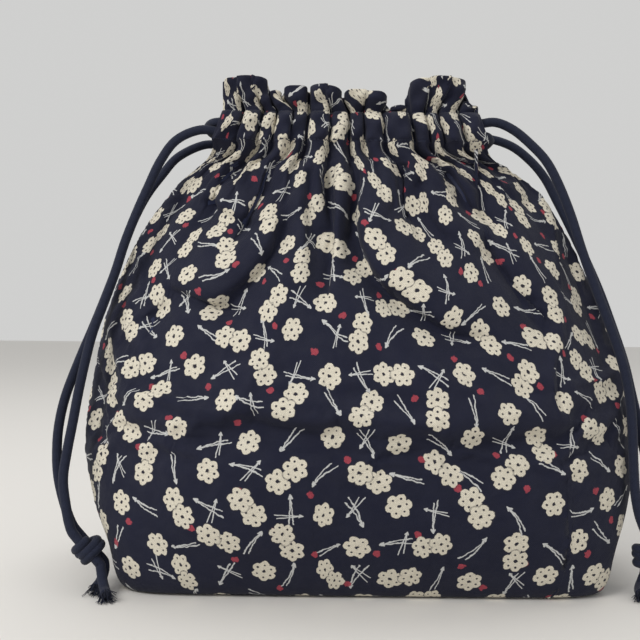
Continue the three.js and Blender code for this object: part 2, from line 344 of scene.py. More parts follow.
def blossom(g, at, spin, wobble):
    """Cream mask, ink mask and distance from the edge of a six-petal blossom about 12 mm across."""
    x, y, _ = g.split(g.turn(at, spin))
    radius = g.math("SQRT", g.math("ADD", g.times(x, x), g.times(y, y)))
    angle = g.math("ARCTAN2", y, x)
    petal = 2 * math.pi / 6
    folded = g.minus(g.math("FLOORED_MODULO", angle, petal), petal / 2)
    along = g.times(radius, g.math("COSINE", folded))
    aside = g.times(radius, g.math("SINE", folded))
    from_petal = g.length(g.join(g.minus(along, 3.65), aside))
    body = g.math("MINIMUM", g.minus(from_petal, 2.15), g.minus(radius, 3.9))
    edge = g.math("ADD", body, wobble)
    cream = g.ramp(edge, -0.18, 0.18, 1.0, 0.0)
    from_dot = g.length(g.join(g.minus(along, 3.55), aside))
    dot = g.ramp(g.line(wobble, 0.6, from_dot), 0.34, 0.62, 1.0, 0.0)
    centre = g.ramp(g.line(wobble, 2.0, radius), 0.70, 1.0, 1.0, 0.0)
    ink = g.most(dot, centre)
    return cream, ink, edge


def blossoms(g, place, offset, seed, wobble):
    """One cell set of blossoms: single ones, and overlapping pairs with a dark line between."""
    at, (c, d, e, f) = cell_place(g, place, offset, seed, 2.8)
    turned = g.turn(at, g.times(c, 2 * math.pi))
    is_pair = g.math("GREATER_THAN", d, 0.48)
    shift = g.times(is_pair, 4.6)
    first = g.vector("ADD", turned, g.join(shift))
    second = g.vector("SUBTRACT", turned, g.join(shift, g.line(e, 3.0, -1.5)))
    cream_a, ink_a, edge_a = blossom(g, first, g.times(e, 6.3), wobble)
    cream_b, ink_b, _ = blossom(g, second, g.times(f, 6.3), wobble)
    line = g.times(g.ramp(edge_a, 0.0, 0.5), g.ramp(edge_a, 0.35, 0.7, 1.0, 0.0))
    ink_b = g.most(ink_b, g.times(line, 0.8))
    behind = g.times(is_pair, g.minus(1.0, cream_a))
    cream = g.most(cream_a, g.times(cream_b, behind))
    ink = g.most(g.times(ink_a, cream_a), g.times(ink_b, behind))
    return cream, ink


def stroke(g, at, angle, length, width):
    """Mask of a straight stroke from the origin."""
    x, y, _ = g.split(g.turn(at, angle))
    beyond = g.most(g.minus(x, length), g.times(x, -1.0))
    away = g.length(g.join(g.most(beyond, 0.0), y))
    return g.ramp(away, width * 0.5 - 0.12, width * 0.5 + 0.16, 1.0, 0.0)


def needle(g, at, opening):
    """Mask of a pine needle: two thin strokes that part from one small arrow-like tip."""
    tip = g.vector("ADD", at, (7.6, 0, 0))
    upper = stroke(g, tip, opening, 15.5, 0.56)
    lower = stroke(g, tip, g.times(opening, -1.0), 14.0, 0.56)
    barb_a = stroke(g, tip, -0.45, 1.9, 0.66)
    barb_b = stroke(g, tip, 0.45, 1.9, 0.66)
    return g.most(g.most(upper, lower), g.most(barb_a, barb_b))


def needles(g, place, offset, seed, bend):
    """One cell set of needles: curved single ones, and crossed pairs."""
    at, (c, d, e, f) = cell_place(g, place, offset, seed, 3.0)
    turned = g.turn(at, g.times(c, 2 * math.pi))
    x, y, _ = g.split(turned)
    curve = g.times(g.times(x, x), g.line(d, 0.036, -0.018))
    bent = g.join(x, g.math("ADD", g.math("ADD", y, curve), bend))
    opening = g.line(e, 0.07, 0.05)
    one = needle(g, bent, opening)
    across = g.turn(g.vector("ADD", bent, (-2.5, 1.0, 0)), g.line(d, 1.1, 1.0))
    crossed = g.math("GREATER_THAN", f, 0.6)
    other = g.times(crossed, needle(g, g.scale(across, 1.25), opening))
    return g.most(one, other)


def berries(g, place, offset, seed, wobble):
    """Mask of small uneven berries, which some cells lack."""
    at, (c, _, _, _) = cell_place(g, place, offset, seed, 4.0)
    edge = g.line(wobble, 2.1, g.length(at))
    return g.times(g.ramp(edge, 1.5, 1.85, 1.0, 0.0), g.math("LESS_THAN", c, 0.68))


def weave_height(g, place, pitch):
    """Plain weave: warp and weft pass over each other in turn."""
    x, y, _ = g.split(g.scale(place, math.pi / pitch))
    return g.times(g.math("SINE", x), g.math("SINE", y))


def print_material():
    material, surface, g = new_material("printed_cotton", 0.86, 0.05)
    half = PRINT_CELL / 2
    place = g.flat_place()
    wobble = g.line(g.noise(place, 0.5, 3.0, 0.6), 1.5, -0.75)
    slow = g.line(g.noise(place, 0.42, 2.0), 1.5, -0.75)
    cloth = g.noise(place, 0.045, 3.0)
    navy = g.mix(cloth, (0.0070, 0.0084, 0.0225, 1), (0.0115, 0.0134, 0.0330, 1))
    needles_a = needles(g, place, (half, 1), 11.0, slow)
    needles_b = needles(g, place, (1, half), 17.0, slow)
    worn = g.ramp(g.noise(place, 1.3, 3.0, 0.7), 0.26, 0.44, 0.45, 1.0)
    colour = g.mix(g.times(g.most(needles_a, needles_b), worn), navy, NEEDLE_WHITE)
    berries_a = berries(g, place, (8, 25), 23.0, wobble)
    berries_b = berries(g, place, (26, 9), 31.0, wobble)
    red = g.mix(g.noise(place, 0.9, 2.0), (0.26, 0.032, 0.052, 1), (0.43, 0.070, 0.095, 1))
    colour = g.mix(g.times(g.most(berries_a, berries_b), 0.95), colour, red)
    cream_a, ink_a = blossoms(g, place, (0, 0), 3.0, wobble)
    cream_b, ink_b = blossoms(g, place, (half, half), 7.0, wobble)
    cream = g.mix(g.noise(place, 0.35, 3.0, 0.6), (0.60, 0.555, 0.455, 1), (0.74, 0.690, 0.580, 1))
    colour = g.mix(g.most(cream_a, cream_b), colour, cream)
    colour = g.mix(g.most(ink_a, ink_b), colour, INK)
    from_stitch = g.attribute("from_stitch")
    thread = g.math("SINE", g.times(g.split(place)[0], 2 * math.pi / 3.4))
    thread = g.times(g.ramp(thread, -0.45, -0.1), g.ramp(from_stitch, 0.28, 0.5, 1.0, 0.0))
    colour = g.mix(thread, colour, (0.018, 0.022, 0.048, 1))
    weave = weave_height(g, place, 0.42)
    # Painted shade: the colour is darker in the weave's low points and lighter on its crowns; the mottle
    # multiplied in below is the cloth's own uneven tone.
    weave_shade_and_mottle = g.ramp(weave, -1.0, 1.0, 0.86, 1.08)
    mottle = g.noise(place, 1.9, 4.0, 0.7)
    weave_shade_and_mottle = g.times(weave_shade_and_mottle, g.ramp(mottle, 0.3, 0.7, 0.80, 1.16))
    g.wire(g.scale(colour, weave_shade_and_mottle), surface.inputs["Base Color"])
    slub = g.noise(g.vector("MULTIPLY", place, (0.25, 2.2, 1)), 1.0, 2.0)
    crumple = g.noise(place, 0.11, 4.0, 0.55)
    normal = g.bump(crumple, 0.0011, 0.5)
    normal = g.bump(slub, 0.00012, 0.5, normal)
    normal = g.bump(g.ramp(from_stitch, 0.1, 1.8), 0.00025, 0.7, normal)
    normal = g.bump(thread, 0.0004, 0.8, normal)
    normal = g.bump(weave, 0.00007, 0.7, normal)
    g.wire(normal, surface.inputs["Normal"])
    g.wire(g.ramp(crumple, 0.3, 0.7, 0.76, 0.9), surface.inputs["Roughness"])
    return material


def lining_material():
    material, surface, g = new_material("lining_cotton", 0.85, 0.15)
    place = g.flat_place()
    weave = weave_height(g, place, 0.45)
    # Uneven tone of the cloth, with painted shade: the weave's low points are darker and its crowns lighter.
    tone_and_weave_shade = g.math("ADD", g.noise(place, 0.06, 3.0), g.times(weave, 0.08))
    g.wire(g.mix(tone_and_weave_shade, (0.014, 0.019, 0.050, 1), (0.024, 0.031, 0.078, 1)), surface.inputs["Base Color"])
    normal = g.bump(g.noise(place, 0.12, 4.0), 0.0012, 0.5)
    g.wire(g.bump(weave, 0.00008, 0.8, normal), surface.inputs["Normal"])
    return material


def cord_material():
    material, surface, g = new_material("braided_cord", 0.9, 0.08)
    place = g.flat_place()
    fibres = g.noise(g.vector("MULTIPLY", place, (1.0, 3.0, 1.0)), 1.2, 4.0, 0.65)
    # Painted shade: the braid's gaps are darker than its crowns. On the frayed fibres the same number is a
    # random tone for each fibre.
    base = g.mix(g.attribute("braid"), (0.0035, 0.0045, 0.011, 1), (0.013, 0.017, 0.037, 1))
    colour = g.mix(g.ramp(fibres, 0.35, 0.7, 0.0, 0.45), base, (0.026, 0.032, 0.062, 1))
    g.wire(colour, surface.inputs["Base Color"])
    g.wire(g.bump(fibres, 0.00035, 0.55), surface.inputs["Normal"])
    return material


def wadding_material():
    material, surface, g = new_material("interlining", 0.95, 0.2)
    place = g.object_place()
    fluff = g.noise(place, 0.8, 5.0, 0.7)
    g.wire(g.mix(fluff, (0.60, 0.57, 0.52, 1), (0.76, 0.73, 0.68, 1)), surface.inputs["Base Color"])
    g.wire(g.bump(fluff, 0.0006, 0.8), surface.inputs["Normal"])
    return material


# ---------------------------------------------------------------- cords

STRANDS = {
    "left_cord_front_strand": [
        (-50, -19, 230.1), (-62, -19, 230.1), (-74, -19, 230.4), (-86.5, -18.8, 231.6),
        (-98.8, -19, 226), (-106.6, -21, 214.6), (-112.5, -24, 200), (-117.7, -27, 186),
        (-122.7, -30, 170.7), (-126.9, -32.5, 155), (-131.6, -35, 140), (-136.4, -37.5, 125),
        (-139.4, -39.5, 111), (-142, -41.5, 96), (-144.2, -43.8, 80), (-146, -46.6, 66),
        (-146.8, -49.8, 53), (-144.6, -52.4, 41), (-141.6, -54.4, 30.5), (-138.1, -55.3, 25.6),
    ],
    "left_cord_back_strand": [
        (-50, 19, 230.1), (-62, 19, 230.1), (-74, 18.7, 230.4), (-88, 15, 231.2),
        (-102, 7, 222.6), (-110, 1, 211.2), (-117, -4, 199.5), (-122, -9.5, 187),
        (-126.1, -15, 173), (-129.4, -20, 158), (-133.8, -24, 143), (-138.8, -28, 127.5),
        (-145.2, -31, 110), (-151, -34, 92), (-153.4, -36.8, 77), (-153.2, -39.8, 64),
        (-151.4, -42.8, 52.5), (-147.4, -46, 40.7), (-142.8, -48.7, 31.2), (-138.1, -49.6, 25.5),
    ],
    "right_cord_front_strand": [
        (35.5, -19, 235.9), (47.5, -19, 235.9), (59.5, -19, 236.1), (69.5, -18.8, 237.2),
        (79, -18.6, 233.4), (88, -18.9, 226), (96, -20, 217), (102, -21.8, 205),
        (108, -24.5, 188), (113, -28, 169), (119.2, -32, 148.5), (125.8, -36, 128),
        (130.8, -39, 110), (133.2, -41.4, 94), (133.6, -44, 79), (133.2, -46.6, 64),
        (133.4, -48.6, 50), (135, -50, 38.5), (138, -50.6, 30), (139.8, -50.9, 25.2),
    ],
    "right_cord_back_strand": [
        (35.5, 19, 235.9), (47.5, 19, 235.9), (59.5, 18.9, 236.1), (72.5, 15, 236.2),
        (84.6, 9.5, 231), (94.2, 5, 222), (101, 0, 211.5), (107, -3, 198.5),
        (113.4, -6, 184), (120.2, -10, 167), (126.8, -14, 149), (131.8, -20, 130),
        (135.8, -26, 112), (138.2, -31, 95), (140.6, -35, 79), (142.6, -38.5, 64),
        (143.6, -41, 50.5), (143.6, -43.3, 39), (142, -44.8, 30.6), (140.3, -45.3, 25.2),
    ],
}
TAILS = {
    "left_cord_tail_front": [
        (-127.5, -55.9, 14.4), (-126, -56.8, 11.8), (-124.2, -60, 6.6), (-122.2, -63.6, 3.8),
        (-120.6, -68, 2.8),
    ],
    "left_cord_tail_back": [
        (-127.5, -50.3, 14.6), (-126, -50.6, 12.3), (-125.8, -51.2, 9), (-126.6, -53, 5.4),
        (-127.6, -58.6, 2.8),
    ],
    "right_cord_tail_front": [
        (140, -51.1, 10), (140.2, -52.2, 6.4), (141, -55.6, 3.7), (142.6, -60.6, 2.8),
        (144.8, -66, 2.8),
    ],
    "right_cord_tail_back": [
        (140, -45.4, 10), (138.8, -46, 6.3), (136.2, -49, 3.6), (133.8, -54, 2.8),
        (132.4, -60, 2.8),
    ],
}
KNOTS = {
    "left_cord": ((-132.8, -52.4, 20), (0.7, -0.05, -0.71)),
    "right_cord": ((140, -48.1, 17.5), (0, -0.02, -1)),
}


def rings_along(line):
    """Side and up vectors that don't twist along a line."""
    tangent = np.gradient(line, axis=0)
    tangent /= np.linalg.norm(tangent, axis=1)[:, None]
    side = np.cross(tangent[0], (0.13, 0.31, 0.94))
    side /= np.linalg.norm(side)
    sides = []
    for t in tangent:
        side = side - t * (side @ t)
        side /= np.linalg.norm(side)
        sides.append(side)
    sides = np.array(sides)
    return sides, np.cross(tangent, sides)


def braid_height(around, along):
    """0 in the gaps and 1 on the crowns of a round braid."""
    turn = 2 * math.pi * along / BRAID_PITCH
    right = np.cos((CORD_YARNS * (around + turn)) / 2)
    left = np.cos((CORD_YARNS * (around - turn)) / 2)
    over = 0.5 + 0.5 * np.sin(CORD_YARNS * around) * np.sin(CORD_YARNS * turn)
    right_yarns = np.abs(right) ** 0.8 * (0.75 + 0.25 * over)
    left_yarns = np.abs(left) ** 0.8 * (1 - 0.25 * over)
    return np.clip(np.maximum(right_yarns, left_yarns), 0, 1)


def tube_mesh(line, radius, ring=CORD_RING, depth=BRAID_DEPTH):
    """Points, faces, flat coordinates and braid height of a braided tube; radius is one or one per point."""
    radius = np.broadcast_to(radius, len(line))
    side, up = rings_along(line)
    around = np.linspace(0, 2 * math.pi, ring, endpoint=False)
    along = lengths_along(line)
    height = braid_height(around[None, :], along[:, None])
    r = radius[:, None] - depth * (1 - height) * (radius[:, None] / CORD_RADIUS)
    points = (
        line[:, None, :]
        + (r * np.cos(around))[..., None] * side[:, None, :]
        + (r * np.sin(around))[..., None] * up[:, None, :]
    ).reshape(-1, 3)
    faces = [tuple(f) for f in grid_faces(len(line), ring, closed=True)]
    uv = np.stack(np.broadcast_arrays(around[None, :] * CORD_RADIUS, along[:, None]), axis=-1).reshape(-1, 2)
    height = height.ravel()
    last = len(points) - ring
    faces.append(tuple(range(ring - 1, -1, -1)))
    faces.append(tuple(range(last, last + ring)))
    return points, faces, uv, height


def add_cord_mesh(name, parts, material):
    """One piece of several braided tubes."""
    points, faces, uv, height, start = [], [], [], [], 0
    for p, f, w, h in parts:
        points.append(p)
        faces += [tuple(i + start for i in face) for face in f]
        uv.append(w)
        height.append(h)
        start += len(p)
    piece = add_mesh(name, np.vstack(points), faces, material, np.vstack(uv))
    store_numbers(piece.data, "braid", np.concatenate(height))
    return piece


def frayed_end(line, seed):
    """Loose fibres of a cut end, fanned out from the last millimetres of a tail."""
    rng = np.random.default_rng(seed)
    side, up = rings_along(line)
    at = len(line) - 3
    ahead = line[-1] - line[-8]
    ahead /= np.linalg.norm(ahead)
    parts = []
    for _ in range(FRAYED_FIBRES):
        angle = rng.uniform(0, 2 * math.pi)
        out = math.sqrt(rng.uniform(0.02, 1)) * CORD_RADIUS * 0.86
        direction = math.cos(angle) * side[at] + math.sin(angle) * up[at]
        root = line[at] + direction * out
        length = rng.uniform(2.5, 6.5) * MM
        flare = rng.uniform(0.1, 0.9) * out / CORD_RADIUS
        curl = rng.normal(0, 0.22, 3)
        steps = []
        for t in np.linspace(0, 1, 5):
            p = root + ahead * length * t + direction * length * flare * t + curl * length * t * t * 0.6
            p = p - np.array((0, 0, 1)) * length * 0.25 * t * t
            p[2] = max(p[2], 0.25 * MM)
            steps.append(p)
        thickness = np.linspace(0.26, 0.12, 5) * MM
        points, faces, uv, _ = tube_mesh(np.array(steps), thickness, ring=4, depth=0)
        parts.append((points, faces, uv, np.full(len(points), rng.uniform(0.4, 1))))
    return parts


def knot_wrap(cord):
    """The band of an overhand knot: both strands wound once and a half round themselves."""
    centre, along = (np.array(v, float) for v in KNOTS[cord])
    along /= np.linalg.norm(along)
    x = np.cross(along, (0, 1, 0))
    x /= np.linalg.norm(x)
    y = np.cross(along, x)
    parts = []
    for strand, phase in enumerate((0.0, 0.9)):
        t = np.linspace(0, 1, 60)
        angle = phase + 0.6 + 2 * math.pi * 1.45 * t
        tuck = np.minimum(1, np.minimum(t, 1 - t) / 0.12)
        reach = (1.6 + 3.0 * np.sqrt(np.clip(tuck, 0, 1))) * MM
        rise = (-4.6 + 6.0 * t + 3.1 * strand + 0.9 * np.sin(angle + 1.2)) * MM
        line = (
            centre * MM
            + along * rise[:, None]
            + x * (reach * 1.12 * np.cos(angle))[:, None]
            + y * (reach * np.sin(angle))[:, None]
        )
        line = spline(line[::3], CORD_STEP)
        parts.append(tube_mesh(line, 2.35 * MM))
    return parts


def add_cords(material):
    for cord in ("left_cord", "right_cord"):
        knot = add_cord_mesh(f"{cord}_knot_band", knot_wrap(cord), material)
        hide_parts(f"{cord}_knot")
        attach(knot, cord)
        for face in ("front", "back"):
            strand = f"{cord}_{face}_strand"
            tail = f"{cord}_tail_{face}"
            route = np.array(STRANDS[strand] + TAILS[tail], float) * MM
            line = spline(route, CORD_STEP)
            near_end = smooth(lengths_along(line)[::-1], 0, 4 * MM)
            radius = CORD_RADIUS * (1.12 - 0.12 * near_end)
            piece = add_cord_mesh(f"{cord}_{face}", [tube_mesh(line, radius)], material)
            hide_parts(strand, tail)
            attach(piece, cord)
            fray = add_cord_mesh(f"{cord}_{face}_frayed_end", frayed_end(line, len(cord + face)), material)
            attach(fray, cord)


def slit_loop(slit, outward, z):
    """A cord's way across the far slit: out of one casing, round the opening and into the other."""
    inside, y = slit - outward * 24 * MM, CASING_Y
    quarter = [
        (inside, -y, z),
        (slit - outward * 8 * MM, -y, z),
        (slit + outward * 4 * MM, -y * 0.94, z),
        (slit + outward * 9 * MM, -y * 0.5, z),
    ]
    return quarter + [(slit + outward * 10 * MM, 0, z)] + [(x, -b, c) for x, b, c in reversed(quarter)]


add_camera()
add_stage()
cord_look = cord_material()
add_cords(cord_look)


# ---------------------------------------------------------------- cloth

PLEATS = 14  # gathers along each casing
PLEAT_COLUMNS = 17
FINE = 48  # samples of a pleat's outline before it is cut into columns
CLOTH = 0.5 * MM
LINING = 0.35 * MM
SETTLE_FRAMES = 16
SETTLE_LIMIT = 6 * MM
CLOTH_SETTINGS = {
    "quality": 6, "mass": 0.12, "tension_stiffness": 20, "compression_stiffness": 20, "shear_stiffness": 8,
    "bending_stiffness": 0.12, "tension_damping": 12, "compression_damping": 12, "air_damping": 3,
    "vertex_group_mass": "hold", "pin_stiffness": 1.0, "shrink_min": -0.025, "use_pressure": True,
    "uniform_pressure_force": 0.6,
}
CORD_ROOM = 2.9 * MM  # half of the tunnel's inside depth, beyond the stitched layers
LAYER = 0.6 * MM  # from the middle of two stitched layers to each one
LINING_INSET = 2.4 * MM
CASING_FLARE = 0.075  # by which the casing's foot is wider than its top
MOUTH_REACH = 8 * MM  # from a gather's ridge to its valley at the casing
FOOT = [(0.0012, 3.2 * MM), (0.0006, 1.6 * MM), (0.0008, 0.7 * MM), (0.0016, 0.2 * MM)]  # height and inset

BODY_NODES = (
    "outer_front_panel",
    "outer_back_panel",
    "neck_front",
    "neck_back",
    "neck_side_left",
    "neck_side_right",
)


def read_outline():
    """Height, middle, half width, half depth and squareness of the CAD body at each of its levels."""
    meshes = [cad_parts[name].data for name in BODY_NODES]
    points = np.array([tuple(v.co) for mesh in meshes for v in mesh.vertices])
    levels = []
    for z in np.unique(np.round(points[:, 2], 4)):
        ring = points[np.abs(points[:, 2] - z) < 1e-4]
        low, high = ring.min(axis=0), ring.max(axis=0)
        middle, half_width = (low[0] + high[0]) / 2, (high[0] - low[0]) / 2
        half_depth = max(-low[1], high[1])
        corner = np.max(np.abs(ring[:, 0] - middle) / half_width * np.abs(ring[:, 1]) / half_depth)
        levels.append((z, middle, half_width, half_depth, max(2.0, -2 / math.log2(corner))))
    return np.array(levels)


OUTLINE = read_outline()


def outline_at(z):
    """Middle, half width, half depth and squareness of the body at any height."""
    return [float(through(OUTLINE[:, 0], OUTLINE[:, k], z)) for k in range(1, 5)]


# Where a gather's valley runs out, counted along the panel from its left seam, as a height in mm.
FRONT_VALLEY_ENDS = [196, 184, 158, 188, 150, 176, 128, 138, 184, 146, 178, 156, 190, 180, 198]
BACK_VALLEY_ENDS = [196, 178, 150, 186, 166, 140, 182, 130, 160, 188, 148, 176, 142, 184, 198]

# Lobes of the frill: the valleys that stay open up to its edge, their place along the mouth and, between
# them, the lobe's top at its left and right side. All in mm.
FRONT_LOBES = [
    (0, -74, 256.0, 257.0),
    (3, -50, 250.4, 250.0),
    (4, -43.4, 252.2, 252.8),
    (5, -28.8, 254.0, 251.4),
    (7, -11.3, 250.8, 249.2),
    (9, 12.5, 242.8, 242.6),
    (10, 23, 256.4, 258.0),
    (13, 54, 247.0, 243.6),
    (14, 59.5, 0, 0),
]
BACK_LOBES = [
    (0, -74, 254.8, 256.4),
    (2, -56, 253.4, 255.0),
    (4, -36, 251.0, 249.2),
    (6, -15, 247.2, 245.0),
    (8, 5, 243.4, 243.0),
    (10, 25, 252.6, 256.0),
    (12, 43, 257.0, 254.0),
    (14, 59.5, 0, 0),
]

# Folds that the sagging cloth makes in the body: their line as (x, z), the valley's depth and width, and
# how far the cloth of the steep side slides over it, above zero for the side on the line's right. All in mm.
FRONT_FOLDS = [
    (
        [(-6, 208), (-5, 190), (-2, 172), (8, 156), (24, 144), (40, 135), (55, 129), (72, 120)],
        10.0, 6.0, -4.6,
    ),
    ([(61, 182), (70, 168), (82, 153), (91, 142), (98, 124)], 7.0, 5.5, -3.4),
    ([(-38, 196), (-45, 178), (-56, 161), (-68, 149), (-86, 141)], 8.0, 5.5, 3.8),
    ([(-19, 214), (-18, 195), (-17, 172), (-19, 152), (-23, 138)], 7.5, 3.8, -1.6),
    ([(-31, 214), (-30, 198), (-29, 182), (-26, 166)], 6.5, 3.6, 1.3),
    ([(20, 216), (22, 204), (23, 193), (28, 180)], 6.0, 3.6, -1.2),
    ([(31, 210), (34, 194), (40, 181), (50, 171)], 5.5, 4.0, -1.6),
    ([(44, 214), (51, 202), (61, 192), (74, 184)], 5.0, 4.6, -1.8),
    ([(-94, 199), (-79, 191), (-63, 185), (-48, 181)], 5.0, 5.0, -2.2),
    ([(-106, 151), (-88, 147), (-72, 142), (-54, 139)], 4.6, 4.8, -2.4),
    ([(-97, 145), (-110, 138), (-120, 127), (-129, 112)], 4.4, 5.0, 2.0),
    ([(-62, 92), (-35, 84), (-8, 88)], 1.8, 16.0, 0.5),
    ([(28, 74), (62, 64), (96, 72)], 1.6, 18.0, 0.4),
    ([(-112, 34), (-80, 14), (-30, 9)], 1.4, 9.0, 0.2),
]
BACK_FOLDS = [
    ([(10, 206), (4, 182), (-6, 160), (-22, 146), (-44, 136), (-66, 128)], 8.5, 6.0, 4.0),
    ([(-60, 180), (-76, 160), (-90, 140)], 6.5, 6.0, 3.0),
    ([(46, 198), (50, 168), (60, 150), (76, 142)], 7.5, 5.5, -3.4),
    ([(24, 212), (26, 180), (22, 150)], 6.5, 3.8, 1.4),
    ([(-30, 214), (-32, 192), (-36, 172)], 6.0, 3.8, -1.3),
    ([(92, 176), (104, 150), (110, 126)], 4.6, 6.0, -2.2),
    ([(-40, 74), (0, 66), (42, 78)], 1.8, 18.0, 0.5),
]


def spread(x, share_up):
    """Where a place along the casing lies, between its foot and its top."""
    middle = (NECK_LEFT + NECK_RIGHT) / 2
    return middle + (x - middle) * (1 + CASING_FLARE * (1 - share_up) ** 1.5)


class Panel:
    """One face of the bag: how its cloth is gathered, hemmed and folded."""

    def __init__(self, name, side, seed, valley_ends, lobes, folds):
        self.name = name
        self.side = side  # -1 in front, 1 behind
        rng = np.random.default_rng(seed)
        even = np.arange(PLEATS + 1) / PLEATS
        self.valley_at = even + np.concatenate([[0], rng.uniform(-0.021, 0.021, PLEATS - 1), [0]])
        self.drift = np.concatenate([[0], rng.uniform(-0.016, 0.016, PLEATS - 1), [0]])
        self.valley_end = np.array(valley_ends, float) * MM
        self.lobes = lobes
        self.folds = []
        for line, depth, width, overhang in folds:
            path = spline([(x, 0, z) for x, z in line], 2.0)[:, [0, 2]] * MM
            self.folds.append((path, depth * MM, width * MM, overhang * MM))
        self.waves = rng.uniform(0, 2 * math.pi, 8)
        self.valley_size = rng.uniform(0.6, 1.0, PLEATS + 1)
        self.valley_lean = rng.uniform(-0.4, 0.4, PLEATS + 1)

    def half_outline(self, z, inset):
        """Points of the body's outline on this side, left to right, at equal steps."""
        middle, half_width, half_depth, power = outline_at(z)
        a = np.linspace(0, math.pi, 721)
        x = middle - (half_width - inset) * np.sign(np.cos(a)) * np.abs(np.cos(a)) ** (2 / power)
        y = self.side * (half_depth - inset) * np.abs(np.sin(a)) ** (2 / power)
        return self.evenly(np.column_stack([x, y]))

    def evenly(self, points):
        along = lengths_along(points)
        at = np.linspace(0, along[-1], PLEATS * FINE + 1)
        return np.column_stack([np.interp(at, along, points[:, k]) for k in range(2)])

    def outward(self, points):
        """Unit normals, away from the bag, of a line that runs left to right."""
        tangent = np.gradient(points, axis=0)
        tangent /= np.maximum(np.linalg.norm(tangent, axis=1), 1e-9)[:, None]
        return np.column_stack([-tangent[:, 1], tangent[:, 0]]) * self.side

    def pleat_lines(self, at, depth, width, length):
        """How far, from 0 to 1, a line is drawn in by the valleys at these shares of its length."""
        share = np.linspace(0, 1, PLEATS * FINE + 1)
        offset = (share[:, None] - at[None, :]) * length
        wide = width[None, :] * (1 + self.valley_lean[None, :] * np.sign(offset))
        drawn = depth[None, :] * np.exp(-(np.abs(offset / wide) ** 1.5))
        return 1 - np.prod(1 - drawn, axis=1)

    def body_folds(self, points, z):
        """Inward push of the sagging cloth's folds, and how its steep side slides over in x and z."""
        push = np.zeros(len(points))
        slide = np.zeros((len(points), 2))
        rows = np.arange(len(points))
        for path, depth, width, overhang in self.folds:
            dx = points[:, 0:1] - path[:, 0]
            dz = z - path[:, 1]
            distance = np.hypot(dx, dz)
            k = distance.argmin(axis=1)
            near = distance[rows, k]
            tangent = np.gradient(path, axis=0)
            tangent /= np.linalg.norm(tangent, axis=1)[:, None]
            away = np.column_stack([-tangent[k, 1], tangent[k, 0]]) * -np.sign(overhang)
            side = dx[rows, k] * away[:, 0] + dz[k] * away[:, 1]
            share = k / (len(path) - 1)
            fade = smooth(share, 0, 0.2) * smooth(1 - share, 0, 0.28) * (near < 5 * width)
            valley = np.exp(-((near / np.where(side > 0, 0.62 * width, 1.7 * width)) ** 2))
            ridge = np.exp(-(((side - 1.7 * width) / (1.4 * width)) ** 2))
            push += fade * (depth * valley - 0.75 * abs(overhang) * ridge)
            reach = fade * abs(overhang) * np.exp(-(((side - 1.0 * width) / (0.9 * width)) ** 2))
            slide -= away * reach[:, None]
        return push, slide

    def soft_waves(self, share, z):
        """Slow unevenness of the filled cloth, in metres."""
        w = self.waves
        s = share * 2 * math.pi
        t = z / 0.1
        return MM * (
            1.1 * np.sin(1.7 * s + 1.3 * t + w[0]) * math.sin(1.9 * t + w[1])
            + 0.8 * np.sin(3.1 * s - 2.1 * t + w[2]) * math.sin(2.7 * t + w[3])
            + 0.5 * np.sin(5.3 * s + 3.4 * t + w[4])
        )

    def columns(self, points, at):
        """Cuts a line into equal columns between its valleys: points, and their length along it."""
        along = lengths_along(points)
        marks = np.interp(at, np.linspace(0, 1, len(points)), along)
        steps = np.linspace(0, 1, PLEAT_COLUMNS, endpoint=False)
        to = np.concatenate([a + (b - a) * steps for a, b in zip(marks, marks[1:])] + [marks[-1:]])
        cut = np.column_stack([np.interp(to, along, points[:, k]) for k in range(points.shape[1])])
        return cut, to - np.interp(0.5, np.linspace(0, 1, len(points)), along)

    def body_row(self, z, inset=0.0):
        """A row of cloth between the base and the casing, and its valleys' shares of its length."""
        above = np.clip((z - 0.200) / (CASING_BOTTOM - 0.200), 0, 1) ** 2
        base = self.half_outline(min(z, OUTLINE[-1, 0]), inset)
        depth = MOUTH_REACH
        mouth_y = self.side * (CASING_Y + LAYER + 0.86 * CORD_ROOM + 0.93 * depth - inset)
        foot_x = spread(np.linspace(NECK_LEFT, NECK_RIGHT, len(base)), 0)
        bar = np.column_stack([foot_x, np.full(len(base), mouth_y)])
        base = self.evenly(base * (1 - above) + bar * above)
        normal = self.outward(base)
        length = lengths_along(base)[-1]
        reach = through(
            [0.095, 0.120, 0.148, 0.172, 0.196, 0.212, 0.219, CASING_BOTTOM],
            [0, 1.4 * MM, 4.6 * MM, 8.4 * MM, 10.0 * MM, 10.0 * MM, 9.2 * MM, depth],
            z,
        )
        top = np.minimum(self.valley_end + 0.044, CASING_BOTTOM)
        deep = smooth((z - self.valley_end) / (top - self.valley_end)) * self.valley_size
        deep[[0, -1]] *= 0.6
        width = (2.3 * MM + (CASING_BOTTOM - z) * 0.085) * np.ones(PLEATS + 1)
        at = np.clip(self.valley_at + self.drift * (CASING_BOTTOM - z) / 0.1, 0, 1)
        share = np.linspace(0, 1, len(base))
        drawn = self.pleat_lines(at, deep * 0.97, width, length) * reach
        drawn += self.soft_waves(share, z) * smooth(z, 0.004, 0.04) * smooth(-z, -0.2, -0.13)
        push, slide = self.body_folds(base, z)
        below = smooth(-z, -CASING_BOTTOM, -0.205)
        at_seam = np.minimum(share, 1 - share)
        drawn = (drawn + push * smooth(z, 0.004, 0.03) * below) * smooth(at_seam, 0, 0.02)
        drawn += 1.0 * MM * np.exp(-((at_seam * length / (2.2 * MM)) ** 2)) * (1 - above)
        line = base - normal * drawn[:, None]
        slide *= (below * smooth(at_seam, 0, 0.05))[:, None]
        return np.column_stack([line[:, 0] + slide[:, 0], line[:, 1], z + slide[:, 1]]), at

